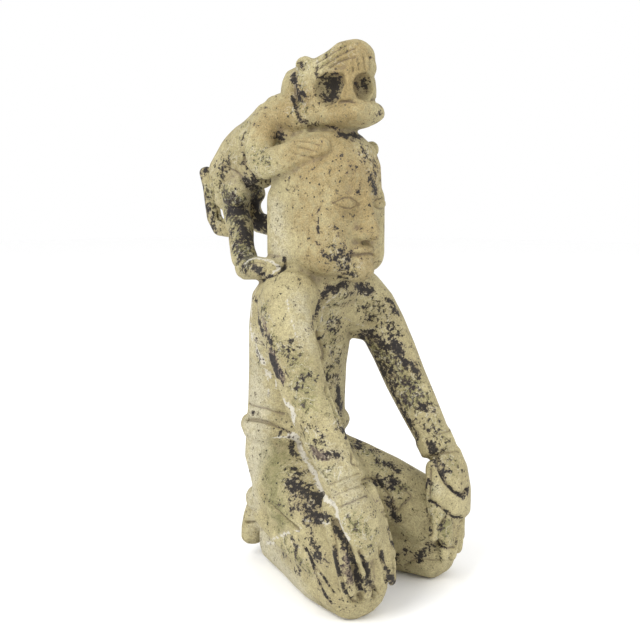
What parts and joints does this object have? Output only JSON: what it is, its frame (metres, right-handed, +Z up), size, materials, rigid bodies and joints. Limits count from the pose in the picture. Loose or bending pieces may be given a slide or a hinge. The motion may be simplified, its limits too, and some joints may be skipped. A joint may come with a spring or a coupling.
{
  "type": "kneeling stone figure with a beast on its shoulders",
  "caption": "Weathered stone carving of a person kneeling with hands on knees, a belt and wristbands, and an open-mouthed beast that stands on the shoulders with its head on the person's head.",
  "frame": {"origin": "on the ground, under the middle of the bounding box", "axes": "+Z up, the person faces -Y, the person's right side is at -X"},
  "size_m": [0.1168, 0.1752, 0.3015],
  "materials": {
    "stone": "weathered, matte"
  },
  "bodies": {
    "root": {"kneeling_figure": "stone"}
  },
  "joints": []
}
